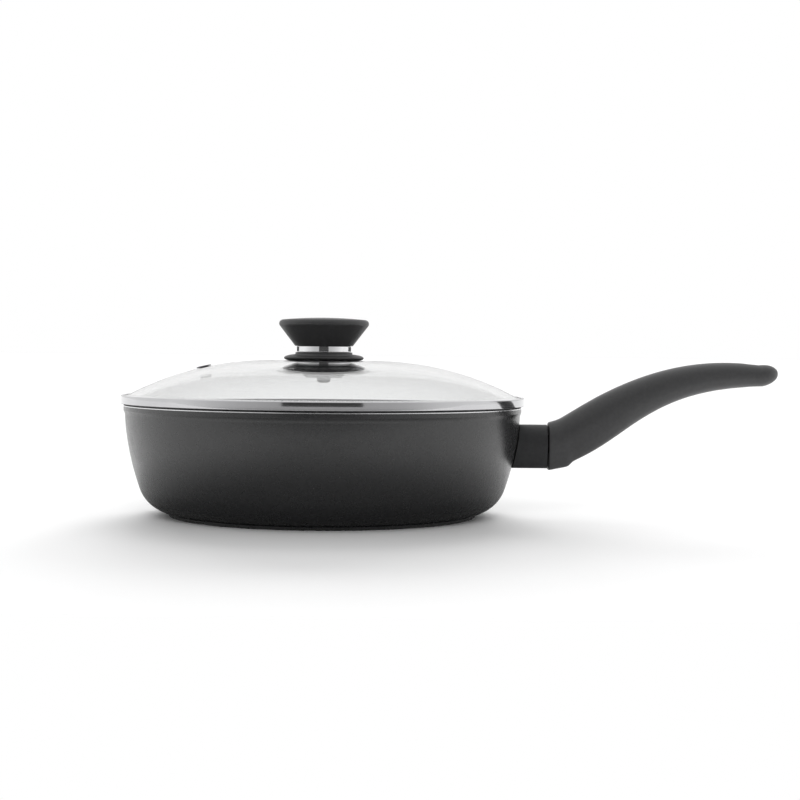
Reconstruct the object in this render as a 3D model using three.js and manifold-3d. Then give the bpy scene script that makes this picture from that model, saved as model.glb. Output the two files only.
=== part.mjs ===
// Frying pan with lid: a deep cast pan with one long moulded handle, and a domed glass lid with a knob.
// Millimetres, +Z up. The origin is the centre of the base on the table, and the handle points along +X.

import * as THREE from 'three';
import { mergeVertices } from 'three/addons/utils/BufferGeometryUtils.js';
import Module from 'manifold-3d';

const wasm = await Module();
wasm.setup();

const radians = THREE.MathUtils.degToRad;

// Fits
const FIT_GAP = 0.3; // clearance round a piece that sits in a cut
const SEAT_GAP = 0.05; // clearance between flat faces that bear on each other

// Pan
const RIM_RADIUS = 130.3;
const PAN_HEIGHT = 72.4;
const WALL_THICKNESS = 3.6;
const FLOOR_THICKNESS = 7;
const WALL_LEAN = radians(3.5); // off vertical, just under the lip
const CORNER_RADIUS = 24; // outside, from the floor to the wall
const INNER_CORNER_RADIUS = 18;
const CORNER_INSET = 3.7; // corner arc's centre, in from the foot's edge
const LIP_HEIGHT = 6.9;
const LIP_LAND = 3.2; // upright part of the lip
const LIP_OVERHANG = 0.9;
const RIM_CHAMFER = 0.4;
const INNER_RIM_CHAMFER = 0.6;
const FOOT_SETBACK = 29.5; // foot's edge, in from the rim
const FOOT_HEIGHT = 2;
const FOOT_RING_WIDTH = 7;
const FOOT_CHAMFER = 0.5;
const PLATE_THICKNESS = 1.2;
const PLATE_CHAMFER = 0.3;

// Handle
const HANDLE_DROP = 25.9; // handle's axis, below the rim
const TONGUE_WIDTH = 12;
const TONGUE_HEIGHT = 12;
const TONGUE_LIFT = 2; // tongue's middle, above the handle's axis
const TONGUE_REACH = 20; // into the grip
const INSERT_RADIUS = 3.8; // threaded bush in the tongue
const INSERT_BORE = 2.4;
const GUARD_LENGTH = 20.4; // from the wall to the seam
const GUARD_WIDTH = 23;
const GUARD_HEIGHT = 28.6;
const SEAM_GAP = 0.7; // between the flame guard and the grip
const GRIP_LENGTH = 151;
const GRIP_FRONT_TOP = 15.8; // above the handle's axis
const GRIP_FRONT_BOTTOM = 15.6; // below the handle's axis
const GRIP_RISE = 47.8; // middle of the far end, above the handle's axis
const GRIP_FRONT_WIDTH = 25;
const GRIP_BELLY_WIDTH = 29;
const GRIP_END_WIDTH = 25;
const GRIP_END_THICKNESS = 14.4;
const GRIP_ROUNDNESS = 2.5; // 2 is an ellipse, more is squarer
const TIP_LENGTH = 12;
const TIP_LIFT = 1.4;
const SHOULDER_LENGTH = 8; // straight start of the top edge
const SHOULDER_LIFT = 2.4;
const TOP_START_ANGLE = radians(34);
const TOP_START_REACH = 72;
const TOP_END_ANGLE = radians(-6);
const TOP_END_REACH = 30;
const BOSS_LENGTH = 13; // flat screw boss under the front
const BOSS_LIFT = 2.6;
const BOSS_STEP_LENGTH = 3.6;
const BOSS_STEP_HEIGHT = 3.7;
const UNDER_START_ANGLE = radians(24);
const UNDER_START_REACH = 43;
const UNDER_END_ANGLE = radians(1.5);
const UNDER_END_REACH = 71;
const SLOT_LENGTH = 15; // hanging slot
const SLOT_WIDTH = 8;
const SLOT_END_WALL = 8; // from the slot to the tip
const HANDLE_SCREW_PLACE = 7.5; // behind the grip's front face
const HANDLE_SCREW_RADIUS = 2.1;
const HANDLE_SCREW_HEAD_RADIUS = 4;
const HANDLE_SCREW_HEAD_HEIGHT = 2.6;
const HANDLE_SCREW_SINK = 1.2; // head, up from the boss's face
const HANDLE_SCREW_BITE = 10; // length in the threaded bush
const HANDLE_WASHER_THICKNESS = 1;

// Lid
const BAND_OVERHANG = 1.8; // past the rim
const BAND_SHEET = 0.7;
const BAND_LOWER_ROUND = 0.5;
const BAND_UPPER_ROUND = 0.8;
const BAND_FACE_TOP = 6.2; // upper edge of the outer face, above the rim
const BAND_SHADOW_GAP = 0.6; // outer lower edge, above the rim
const BAND_LAP = 0.8; // over the top of the glass
const BAND_SEAT_INSET = 0.4; // bearing face, in from the rim's chamfer
const SKIRT_DEPTH = 5;
const SKIRT_CLEARANCE = 0.7;
const GLASS_THICKNESS = 4;
const GLASS_EDGE_INSET = 3.1; // glass edge, in from the band's outside
const GLASS_EDGE_HEIGHT = 5.3; // glass edge, above the rim
const DOME_RISE = 29.2; // crest of the dome, above the rim
const CREST_RADIUS = 35;
const DISH_DEPTH = 3.2; // knob seat, below the crest
const DISH_RADIUS = 21.5;
const GLASS_BORE = 4.5;
const VENT_PLACE = 79; // from the lid's axis
const VENT_BORE = 1.9;
const VENT_BARREL = 2.8;
const VENT_FLANGE_RADIUS = 5;
const VENT_FLANGE_HEIGHT = 0.8;
const VENT_ROLL_RADIUS = 4.4;
const VENT_ROLL_HEIGHT = 1;

// Knob
const GASKET_RADIUS = 19.5;
const GASKET_THICKNESS = 0.5;
const COLLAR_RADIUS = 17.8;
const COLLAR_EDGE = 0.4;
const LOWER_COLLAR_HEIGHT = 1.8;
const UPPER_COLLAR_HEIGHT = 4;
const HEAT_GUARD_RADIUS = 26.3;
const HEAT_GUARD_HEIGHT = 6.4; // with the hub
const HEAT_GUARD_THICKNESS = 5.2; // disc alone
const HEAT_GUARD_TAPER = 10.5; // long round of the disc's edge, along the radius
const HEAT_GUARD_HUB_RADIUS = 18.8;
const CAP_HEIGHT = 18.6;
const CAP_FOOT_RADIUS = 19;
const CAP_RADIUS = 29.6;
const CAP_EDGE_ROUND = 2.6;
const CAP_CROWN = 1.3;
const BUSH_RADIUS = 4.2; // threaded bush in the cap
const BUSH_BORE = 2.8;
const BUSH_LENGTH = 11;
const KNOB_SCREW_RADIUS = 2.5;
const KNOB_SCREW_HEAD_RADIUS = 4.6;
const KNOB_SCREW_HEAD_HEIGHT = 2.8;
const KNOB_SCREW_BITE = 9; // length in the threaded bush
const UNDER_GASKET_RADIUS = 14;
const UNDER_WASHER_RADIUS = 12.5;
const UNDER_WASHER_THICKNESS = 1.2;
const SPRING_WASHER_THICKNESS = 1.2;
const SPRING_WASHER_SPLIT = 1;
const DRIVE_SLOT_WIDTH = 1.1; // cross recess in the screw heads
const DRIVE_SLOT_DEPTH = 1.2;

// Fineness of the round surfaces
const LARGE_SEGMENTS = 48;
const KNOB_SEGMENTS = 32;
const SMALL_SEGMENTS = 20;
const ARC_STEPS = 2;
const GRIP_SIDES = 28;
const GRIP_STATIONS = 12;
const TIP_STATIONS = 5;
const TIP_TURN = radians(85); // the rounded tip closes with a small flat
const SLOT_ARC_STEPS = 4;
const MERGE_DISTANCE = 1e-4;

// Heights and radii that several pieces share
const footRadius = RIM_RADIUS - FOOT_SETBACK;
const plateRadius = footRadius - FOOT_RING_WIDTH;
const floorTop = FOOT_HEIGHT + FLOOR_THICKNESS;
const lipFoot = new THREE.Vector2(RIM_RADIUS - LIP_OVERHANG, PAN_HEIGHT - LIP_HEIGHT);
const corner = new THREE.Vector2(footRadius - CORNER_INSET, FOOT_HEIGHT + CORNER_RADIUS);
const handleHeight = PAN_HEIGHT - HANDLE_DROP;

// The wall is one arc that leaves the lip at its lean and runs smoothly into the corner arc.
const lipNormal = new THREE.Vector2(Math.cos(WALL_LEAN), -Math.sin(WALL_LEAN));
const cornerToLip = lipFoot.clone().sub(corner);
const cornerRoom = cornerToLip.dot(lipNormal) - CORNER_RADIUS;
const wallBow = (cornerToLip.lengthSq() - CORNER_RADIUS ** 2) / (2 * cornerRoom);
const wallCentre = lipFoot.clone().addScaledVector(lipNormal, -wallBow);
const wallFootAngle = corner.clone().sub(wallCentre).angle() - 2 * Math.PI;
const footAngle = -Math.acos(CORNER_INSET / CORNER_RADIUS);

function wallRadiusAt(height, offset) {
  return wallCentre.x + Math.sqrt((wallBow + offset) ** 2 - (height - wallCentre.y) ** 2);
}

const gripFront = wallRadiusAt(handleHeight, 0) + GUARD_LENGTH + SEAM_GAP;

// A closed mesh as a solid that can be cut and joined. Triangles that shrink to a line are left out.
function solid(geometry) {
  const bare = new THREE.BufferGeometry();
  bare.setAttribute('position', geometry.getAttribute('position'));
  bare.setIndex(geometry.getIndex());
  const merged = mergeVertices(bare, MERGE_DISTANCE);
  const corners = merged.getIndex().array;
  const triangles = [];
  for (let at = 0; at < corners.length; at += 3) {
    const [a, b, c] = corners.slice(at, at + 3);
    if (a !== b && b !== c && c !== a) {
      triangles.push(a, b, c);
    }
  }
  const vertProperties = merged.getAttribute('position').array;
  const triVerts = new Uint32Array(triangles);
  return new wasm.Manifold(new wasm.Mesh({ numProp: 3, vertProperties, triVerts }));
}

function piece(name, body, material) {
  const { vertProperties, triVerts } = body.getMesh();
  const geometry = new THREE.BufferGeometry();
  geometry.setAttribute('position', new THREE.BufferAttribute(vertProperties, 3));
  geometry.setIndex(new THREE.BufferAttribute(triVerts, 1));
  geometry.computeVertexNormals();
  const mesh = new THREE.Mesh(geometry, material);
  mesh.name = name;
  return mesh;
}

// A solid of revolution about +Z. The outline runs anticlockwise in radius and height.
function turned(outline, segments) {
  const geometry = new THREE.LatheGeometry(outline.getPoints(ARC_STEPS), segments);
  geometry.rotateX(Math.PI / 2);
  return solid(geometry);
}

// A flat ring or a short tube about +Z.
function ring(bore, radius, bottom, top, segments) {
  const outline = new THREE.Path();
  outline.moveTo(bore, bottom);
  outline.lineTo(radius, bottom);
  outline.lineTo(radius, top);
  outline.lineTo(bore, top);
  outline.lineTo(bore, bottom);
  return turned(outline, segments);
}

function rod(radius, bottom, top, segments) {
  const geometry = new THREE.CylinderGeometry(radius, radius, top - bottom, segments);
  geometry.rotateX(Math.PI / 2);
  geometry.translate(0, 0, (bottom + top) / 2);
  return geometry;
}

// A block between two values on each axis.
function block(x, y, z) {
  const geometry = new THREE.BoxGeometry(x[1] - x[0], y[1] - y[0], z[1] - z[0]);
  geometry.translate((x[0] + x[1]) / 2, (y[0] + y[1]) / 2, (z[0] + z[1]) / 2);
  return geometry;
}

// A rounded section that stands between a lower and an upper point of the side view.
function section(lower, upper, halfWidth) {
  const middle = lower.clone().add(upper).multiplyScalar(0.5);
  const up = upper.clone().sub(middle);
  const points = [];
  for (let side = 0; side < GRIP_SIDES; side++) {
    const turn = (2 * Math.PI * side) / GRIP_SIDES;
    const across = Math.sign(Math.cos(turn)) * Math.abs(Math.cos(turn)) ** (2 / GRIP_ROUNDNESS);
    const along = Math.sign(Math.sin(turn)) * Math.abs(Math.sin(turn)) ** (2 / GRIP_ROUNDNESS);
    points.push(new THREE.Vector3(middle.x + up.x * along, halfWidth * across, middle.y + up.y * along));
  }
  return points;
}

// A closed skin over sections that follow each other along +X, with flat ends.
function lofted(sections) {
  const triangles = [];
  for (let at = 0; at + 1 < sections.length; at++) {
    for (let side = 0; side < GRIP_SIDES; side++) {
      const a = at * GRIP_SIDES + side;
      const b = at * GRIP_SIDES + ((side + 1) % GRIP_SIDES);
      triangles.push(a, b, b + GRIP_SIDES);
      triangles.push(a, b + GRIP_SIDES, a + GRIP_SIDES);
    }
  }
  const last = (sections.length - 1) * GRIP_SIDES;
  for (let side = 1; side + 1 < GRIP_SIDES; side++) {
    triangles.push(0, side + 1, side);
    triangles.push(last, last + side, last + side + 1);
  }
  const geometry = new THREE.BufferGeometry().setFromPoints(sections.flat());
  geometry.setIndex(triangles);
  return solid(geometry);
}

function panBody() {
  const recessRadius = plateRadius + FIT_GAP;
  const recessTop = PLATE_THICKNESS + SEAT_GAP;
  const inner = wallBow - WALL_THICKNESS;
  const innerCornerHeight = floorTop + INNER_CORNER_RADIUS;
  const innerCornerDrop = innerCornerHeight - wallCentre.y;
  const innerCornerReach = Math.sqrt((inner - INNER_CORNER_RADIUS) ** 2 - innerCornerDrop ** 2);
  const innerFootAngle = Math.atan2(innerCornerDrop, innerCornerReach);
  const innerRimHeight = PAN_HEIGHT - INNER_RIM_CHAMFER;
  const innerRimAngle = Math.asin((innerRimHeight - wallCentre.y) / inner);

  const outline = new THREE.Path();
  outline.moveTo(0, recessTop);
  outline.lineTo(recessRadius, recessTop);
  outline.lineTo(recessRadius, 0);
  outline.lineTo(footRadius - FOOT_CHAMFER, 0);
  outline.lineTo(footRadius, FOOT_CHAMFER);
  outline.absarc(corner.x, corner.y, CORNER_RADIUS, footAngle, wallFootAngle, false);
  outline.absarc(wallCentre.x, wallCentre.y, wallBow, wallFootAngle, -WALL_LEAN, false);
  const landFoot = PAN_HEIGHT - RIM_CHAMFER - LIP_LAND;
  outline.quadraticCurveTo(lipFoot.x, (lipFoot.y + landFoot) / 2, RIM_RADIUS, landFoot);
  outline.lineTo(RIM_RADIUS, PAN_HEIGHT - RIM_CHAMFER);
  outline.lineTo(RIM_RADIUS - RIM_CHAMFER, PAN_HEIGHT);
  outline.lineTo(wallRadiusAt(innerRimHeight, -WALL_THICKNESS) + INNER_RIM_CHAMFER, PAN_HEIGHT);
  outline.absarc(wallCentre.x, wallCentre.y, inner, innerRimAngle, innerFootAngle, true);
  const innerCorner = new THREE.Vector2(wallCentre.x + innerCornerReach, innerCornerHeight);
  outline.absarc(innerCorner.x, innerCorner.y, INNER_CORNER_RADIUS, innerFootAngle, -Math.PI / 2, true);
  outline.lineTo(0, floorTop);

  const tongueStart = wallRadiusAt(handleHeight, -WALL_THICKNESS / 2);
  const middle = handleHeight + TONGUE_LIFT;
  const tongue = block(
    [tongueStart, gripFront + TONGUE_REACH],
    [-TONGUE_WIDTH / 2, TONGUE_WIDTH / 2],
    [middle - TONGUE_HEIGHT / 2, middle + TONGUE_HEIGHT / 2],
  );
  const hole = rod(INSERT_RADIUS + FIT_GAP, middle - TONGUE_HEIGHT, middle + TONGUE_HEIGHT, SMALL_SEGMENTS);
  hole.translate(gripFront + HANDLE_SCREW_PLACE, 0, 0);
  return turned(outline, LARGE_SEGMENTS).add(solid(tongue)).subtract(solid(hole));
}

function inductionPlate() {
  const outline = new THREE.Path();
  outline.moveTo(0, 0);
  outline.lineTo(plateRadius - PLATE_CHAMFER, 0);
  outline.lineTo(plateRadius, PLATE_CHAMFER);
  outline.lineTo(plateRadius, PLATE_THICKNESS);
  outline.lineTo(0, PLATE_THICKNESS);
  return turned(outline, LARGE_SEGMENTS);
}

// The space that the tongue needs, for the sleeve and the grip round it.
function tongueRoom(start, end) {
  const halfWidth = TONGUE_WIDTH / 2 + FIT_GAP;
  const halfHeight = TONGUE_HEIGHT / 2 + FIT_GAP;
  const heights = [TONGUE_LIFT - halfHeight, TONGUE_LIFT + halfHeight];
  return solid(block([start, end], [-halfWidth, halfWidth], heights));
}

// The sleeve is drawn from the pan's axis and cut off by the wall.
function flameGuard() {
  const stations = [-gripFront, -SEAM_GAP].map((x) => {
    const lower = new THREE.Vector2(x, -GUARD_HEIGHT / 2);
    const upper = new THREE.Vector2(x, GUARD_HEIGHT / 2);
    return section(lower, upper, GUARD_WIDTH / 2);
  });
  const wall = new THREE.Path();
  wall.moveTo(0, corner.y - CORNER_RADIUS - FIT_GAP);
  wall.lineTo(corner.x, corner.y - CORNER_RADIUS - FIT_GAP);
  wall.absarc(corner.x, corner.y, CORNER_RADIUS + FIT_GAP, -Math.PI / 2, wallFootAngle, false);
  wall.absarc(wallCentre.x, wallCentre.y, wallBow + FIT_GAP, wallFootAngle, -WALL_LEAN, false);
  wall.lineTo(0, lipFoot.y);
  const wallGeometry = new THREE.LatheGeometry(wall.getPoints(ARC_STEPS), LARGE_SEGMENTS);
  wallGeometry.rotateX(Math.PI / 2);
  wallGeometry.translate(-gripFront, 0, -handleHeight);
  return lofted(stations).subtract(solid(wallGeometry)).subtract(tongueRoom(-gripFront, 0));
}

// Side view of the grip, from its front face: the top edge and the underside, paired from front to end.
function gripStations() {
  const endPlace = GRIP_LENGTH - TIP_LENGTH;
  const shoulder = new THREE.Vector2(SHOULDER_LENGTH, GRIP_FRONT_TOP + SHOULDER_LIFT);
  const bossEnd = new THREE.Vector2(BOSS_LENGTH, BOSS_LIFT - GRIP_FRONT_BOTTOM);
  const underStart = new THREE.Vector2(BOSS_STEP_LENGTH, BOSS_STEP_HEIGHT).add(bossEnd);
  const topEnd = new THREE.Vector2(endPlace, GRIP_RISE + GRIP_END_THICKNESS / 2);
  const underEnd = new THREE.Vector2(endPlace, GRIP_RISE - GRIP_END_THICKNESS / 2);
  const towards = (from, angle, reach) =>
    new THREE.Vector2(Math.cos(angle), Math.sin(angle)).multiplyScalar(reach).add(from);

  const top = new THREE.CubicBezierCurve(
    shoulder,
    towards(shoulder, TOP_START_ANGLE, TOP_START_REACH),
    towards(topEnd, TOP_END_ANGLE, -TOP_END_REACH),
    topEnd,
  );
  const under = new THREE.CubicBezierCurve(
    underStart,
    towards(underStart, UNDER_START_ANGLE, UNDER_START_REACH),
    towards(underEnd, UNDER_END_ANGLE, -UNDER_END_REACH),
    underEnd,
  );
  const pairs = [
    [new THREE.Vector2(0, -GRIP_FRONT_BOTTOM), new THREE.Vector2(0, GRIP_FRONT_TOP), 0],
    [bossEnd, new THREE.Vector2(0, GRIP_FRONT_TOP).lerp(shoulder, BOSS_LENGTH / underStart.x), 0],
  ];
  for (let at = 0; at <= GRIP_STATIONS; at++) {
    const share = at / GRIP_STATIONS;
    pairs.push([under.getPointAt(share), top.getPointAt(share), share]);
  }
  return pairs;
}

function handleGrip() {
  const belly = 2 * GRIP_BELLY_WIDTH - (GRIP_FRONT_WIDTH + GRIP_END_WIDTH) / 2;
  const widths = new THREE.QuadraticBezierCurve(
    new THREE.Vector2(0, GRIP_FRONT_WIDTH),
    new THREE.Vector2(0.5, belly),
    new THREE.Vector2(1, GRIP_END_WIDTH),
  );
  const sections = gripStations().map(([lower, upper, share]) => {
    return section(lower, upper, widths.getPoint(share).y / 2);
  });
  for (let at = 1; at <= TIP_STATIONS; at++) {
    const turn = TIP_TURN * (at / TIP_STATIONS);
    const place = GRIP_LENGTH - TIP_LENGTH * (1 - Math.sin(turn));
    const middle = GRIP_RISE + TIP_LIFT * Math.sin(turn);
    const half = (GRIP_END_THICKNESS / 2) * Math.cos(turn);
    const lower = new THREE.Vector2(place, middle - half);
    const upper = new THREE.Vector2(place, middle + half);
    sections.push(section(lower, upper, (GRIP_END_WIDTH / 2) * Math.cos(turn)));
  }

  const slotRadius = SLOT_WIDTH / 2;
  const slotEnd = GRIP_LENGTH - SLOT_END_WALL - slotRadius;
  const slotStart = slotEnd - SLOT_LENGTH + SLOT_WIDTH;
  const slotOutline = new THREE.Shape();
  slotOutline.absarc(slotEnd, 0, slotRadius, -Math.PI / 2, Math.PI / 2, false);
  slotOutline.absarc(slotStart, 0, slotRadius, Math.PI / 2, (3 * Math.PI) / 2, false);
  const slot = new THREE.ExtrudeGeometry(slotOutline, {
    depth: 2 * GRIP_RISE,
    bevelEnabled: false,
    curveSegments: SLOT_ARC_STEPS,
  });

  const seat = screwSeat();
  const headRoom = rod(HANDLE_SCREW_HEAD_RADIUS + FIT_GAP, -2 * GRIP_FRONT_BOTTOM, seat, SMALL_SEGMENTS);
  headRoom.translate(HANDLE_SCREW_PLACE, 0, 0);
  const shankRoom = rod(HANDLE_SCREW_RADIUS + FIT_GAP, seat - GRIP_FRONT_BOTTOM, TONGUE_LIFT, SMALL_SEGMENTS);
  shankRoom.translate(HANDLE_SCREW_PLACE, 0, 0);
  return lofted(sections)
    .subtract(solid(slot))
    .subtract(tongueRoom(-TONGUE_REACH, TONGUE_REACH + FIT_GAP))
    .subtract(solid(headRoom))
    .subtract(solid(shankRoom));
}

// Height of the washer's bearing face in the boss, from the handle's axis.
function screwSeat() {
  const bossFace = BOSS_LIFT * (HANDLE_SCREW_PLACE / BOSS_LENGTH) - GRIP_FRONT_BOTTOM;
  return bossFace + HANDLE_SCREW_SINK + HANDLE_SCREW_HEAD_HEIGHT + HANDLE_WASHER_THICKNESS + 2 * SEAT_GAP;
}

// A screw that points up, with its head's bearing face at height 0 and a cross recess below.
function screw(radius, length, headRadius, headHeight) {
  const crown = headHeight / 4;
  const outline = new THREE.Path();
  outline.moveTo(0, -headHeight);
  outline.lineTo(headRadius - crown, -headHeight);
  outline.lineTo(headRadius, crown - headHeight);
  outline.lineTo(headRadius, 0);
  outline.lineTo(radius, 0);
  outline.lineTo(radius, length - radius / 3);
  outline.lineTo(radius / 2, length);
  outline.lineTo(0, length);
  const halfSlot = DRIVE_SLOT_WIDTH / 2;
  const reach = headRadius / 2;
  const depth = [-2 * headHeight, DRIVE_SLOT_DEPTH - headHeight];
  return turned(outline, SMALL_SEGMENTS)
    .subtract(solid(block([-reach, reach], [-halfSlot, halfSlot], depth)))
    .subtract(solid(block([-halfSlot, halfSlot], [-reach, reach], depth)));
}

// The dome's arc, in the lid's own frame: height 0 is the top of the rim.
const bandRadius = RIM_RADIUS + BAND_OVERHANG;
const glassRadius = bandRadius - GLASS_EDGE_INSET;
const domeReach = glassRadius - CREST_RADIUS;
const domeDrop = DOME_RISE - GLASS_EDGE_HEIGHT;
const domeBow = (domeReach ** 2 + domeDrop ** 2) / (2 * domeDrop);
const domeCentre = new THREE.Vector2(CREST_RADIUS, DOME_RISE - domeBow);
const knobSeat = DOME_RISE - DISH_DEPTH;

function domeAngleAt(radius, bow) {
  return Math.acos((radius - domeCentre.x) / bow);
}

const domeEdgeAngle = domeAngleAt(glassRadius, domeBow);
const ventAngle = domeAngleAt(VENT_PLACE, domeBow);

function lidGlass() {
  const run = (CREST_RADIUS - DISH_RADIUS) / 2;
  const rise = DISH_DEPTH / 2;
  const bend = (run ** 2 + rise ** 2) / (2 * rise);
  const slope = Math.asin(run / bend);
  const quarter = Math.PI / 2;
  const hollowCentre = knobSeat + bend;
  const crestCentre = DOME_RISE - bend;

  // The dome's arcs break at the vent, so that the glass there is at its true height.
  const outline = new THREE.Path();
  outline.moveTo(GLASS_BORE, knobSeat - GLASS_THICKNESS);
  outline.lineTo(DISH_RADIUS, knobSeat - GLASS_THICKNESS);
  outline.absarc(DISH_RADIUS, hollowCentre, bend + GLASS_THICKNESS, -quarter, slope - quarter, false);
  outline.absarc(CREST_RADIUS, crestCentre, bend - GLASS_THICKNESS, slope + quarter, quarter, true);
  outline.absarc(domeCentre.x, domeCentre.y, domeBow - GLASS_THICKNESS, quarter, ventAngle, true);
  outline.absarc(domeCentre.x, domeCentre.y, domeBow - GLASS_THICKNESS, ventAngle, domeEdgeAngle, true);
  outline.absarc(domeCentre.x, domeCentre.y, domeBow, domeEdgeAngle, ventAngle, false);
  outline.absarc(domeCentre.x, domeCentre.y, domeBow, ventAngle, quarter, false);
  outline.absarc(CREST_RADIUS, crestCentre, bend, quarter, slope + quarter, false);
  outline.absarc(DISH_RADIUS, hollowCentre, bend, slope - quarter, -quarter, true);
  outline.lineTo(GLASS_BORE, knobSeat);
  outline.lineTo(GLASS_BORE, knobSeat - GLASS_THICKNESS);

  const vent = rod(VENT_BARREL + FIT_GAP, -2 * GLASS_THICKNESS, 2 * GLASS_THICKNESS, SMALL_SEGMENTS);
  vent.applyMatrix4(ventFrame().matrix);
  return turned(outline, LARGE_SEGMENTS).subtract(solid(vent));
}

// The vent stands square on the glass, on the side away from the handle.
function ventFrame() {
  const frame = new THREE.Group();
  frame.position.set(-VENT_PLACE, 0, domeCentre.y + domeBow * Math.sin(ventAngle));
  frame.rotation.y = ventAngle - Math.PI / 2;
  frame.updateMatrix();
  return frame;
}

function ventEyelet() {
  const under = -GLASS_THICKNESS - FIT_GAP;
  const top = FIT_GAP + VENT_FLANGE_HEIGHT;
  const outline = new THREE.Path();
  outline.moveTo(VENT_BORE, under - VENT_ROLL_HEIGHT);
  outline.lineTo(VENT_ROLL_RADIUS - VENT_ROLL_HEIGHT, under - VENT_ROLL_HEIGHT);
  outline.quadraticCurveTo(VENT_ROLL_RADIUS, under - VENT_ROLL_HEIGHT, VENT_ROLL_RADIUS, under);
  outline.lineTo(VENT_BARREL, under);
  outline.lineTo(VENT_BARREL, FIT_GAP);
  outline.lineTo(VENT_FLANGE_RADIUS, FIT_GAP);
  outline.quadraticCurveTo(VENT_FLANGE_RADIUS, top, VENT_FLANGE_RADIUS - VENT_FLANGE_HEIGHT, top);
  outline.lineTo(VENT_BORE, top);
  outline.lineTo(VENT_BORE, under - VENT_ROLL_HEIGHT);
  return turned(outline, SMALL_SEGMENTS);
}

function lidBand() {
  const skirtRadius = wallRadiusAt(PAN_HEIGHT - SKIRT_DEPTH, -WALL_THICKNESS) - SKIRT_CLEARANCE;
  const skirtInside = skirtRadius - BAND_SHEET;
  const over = domeBow + FIT_GAP;
  const outside = over + BAND_SHEET;
  const below = domeBow - GLASS_THICKNESS - FIT_GAP;
  const upperRound = new THREE.Vector2(bandRadius, BAND_FACE_TOP).subScalar(BAND_UPPER_ROUND);
  const lapAngle = domeAngleAt(glassRadius - BAND_LAP, domeBow);
  const edgeAngle = domeEdgeAngle - FIT_GAP / domeBow;
  const lowerRadius = bandRadius - BAND_LOWER_ROUND;

  const outline = new THREE.Path();
  outline.moveTo(skirtInside, -SKIRT_DEPTH);
  outline.lineTo(skirtRadius, -SKIRT_DEPTH);
  outline.lineTo(skirtRadius, SEAT_GAP);
  outline.lineTo(RIM_RADIUS - RIM_CHAMFER - BAND_SEAT_INSET, SEAT_GAP);
  outline.lineTo(lowerRadius, BAND_SHADOW_GAP);
  outline.absarc(lowerRadius, BAND_SHADOW_GAP + BAND_LOWER_ROUND, BAND_LOWER_ROUND, -Math.PI / 2, 0, false);
  outline.absarc(upperRound.x, upperRound.y, BAND_UPPER_ROUND, 0, Math.PI / 2, false);
  for (const [bow, angle] of [[outside, lapAngle], [over, lapAngle], [over, edgeAngle], [below, edgeAngle]]) {
    outline.lineTo(domeCentre.x + bow * Math.cos(angle), domeCentre.y + bow * Math.sin(angle));
  }
  outline.lineTo(skirtInside, domeCentre.y + below * Math.sin(domeAngleAt(skirtInside, below)));
  outline.lineTo(skirtInside, -SKIRT_DEPTH);
  return turned(outline, LARGE_SEGMENTS);
}

// A turned ring with softly broken outer edges, standing on height 0.
function collar(height) {
  const outline = new THREE.Path();
  const bore = KNOB_SCREW_RADIUS + FIT_GAP;
  outline.moveTo(bore, 0);
  outline.lineTo(COLLAR_RADIUS - COLLAR_EDGE, 0);
  outline.lineTo(COLLAR_RADIUS, COLLAR_EDGE);
  outline.lineTo(COLLAR_RADIUS, height - COLLAR_EDGE);
  outline.lineTo(COLLAR_RADIUS - COLLAR_EDGE, height);
  outline.lineTo(bore, height);
  outline.lineTo(bore, 0);
  return turned(outline, KNOB_SEGMENTS);
}

// A disc that thins to a round edge, with a low hub on top.
function heatGuard() {
  const half = HEAT_GUARD_THICKNESS / 2;
  const taperStart = HEAT_GUARD_RADIUS - HEAT_GUARD_TAPER;
  const hubAngle = Math.acos((HEAT_GUARD_HUB_RADIUS - taperStart) / HEAT_GUARD_TAPER);
  const bore = KNOB_SCREW_RADIUS + FIT_GAP;
  const outline = new THREE.Path();
  outline.moveTo(bore, 0);
  outline.lineTo(taperStart, 0);
  outline.absellipse(taperStart, half, HEAT_GUARD_TAPER, half, -Math.PI / 2, 0, false);
  outline.absellipse(taperStart, half, HEAT_GUARD_TAPER, half, 0, hubAngle, false);
  outline.lineTo(HEAT_GUARD_HUB_RADIUS, HEAT_GUARD_HEIGHT);
  outline.lineTo(bore, HEAT_GUARD_HEIGHT);
  outline.lineTo(bore, 0);
  return turned(outline, KNOB_SEGMENTS);
}

function knobCap() {
  const bushRoom = BUSH_RADIUS + FIT_GAP;
  const edge = new THREE.Vector2(CAP_RADIUS - CAP_EDGE_ROUND, CAP_HEIGHT - CAP_CROWN - CAP_EDGE_ROUND);
  const flare = Math.atan2(edge.x + CAP_EDGE_ROUND - CAP_FOOT_RADIUS, edge.y);
  const outline = new THREE.Path();
  outline.moveTo(0, BUSH_LENGTH + FIT_GAP);
  outline.lineTo(bushRoom, BUSH_LENGTH + FIT_GAP);
  outline.lineTo(bushRoom, 0);
  outline.lineTo(CAP_FOOT_RADIUS, 0);
  outline.absarc(edge.x, edge.y, CAP_EDGE_ROUND, -flare, Math.PI / 2, false);
  outline.quadraticCurveTo(edge.x / 2, CAP_HEIGHT, 0, CAP_HEIGHT);
  return turned(outline, KNOB_SEGMENTS);
}

function springWasher() {
  const bore = KNOB_SCREW_RADIUS + FIT_GAP;
  const washer = ring(bore, KNOB_SCREW_HEAD_RADIUS, 0, SPRING_WASHER_THICKNESS, SMALL_SEGMENTS);
  const halfSplit = SPRING_WASHER_SPLIT / 2;
  const above = [-SPRING_WASHER_THICKNESS, 2 * SPRING_WASHER_THICKNESS];
  return washer.subtract(solid(block([0, 2 * KNOB_SCREW_HEAD_RADIUS], [-halfSplit, halfSplit], above)));
}

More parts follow.
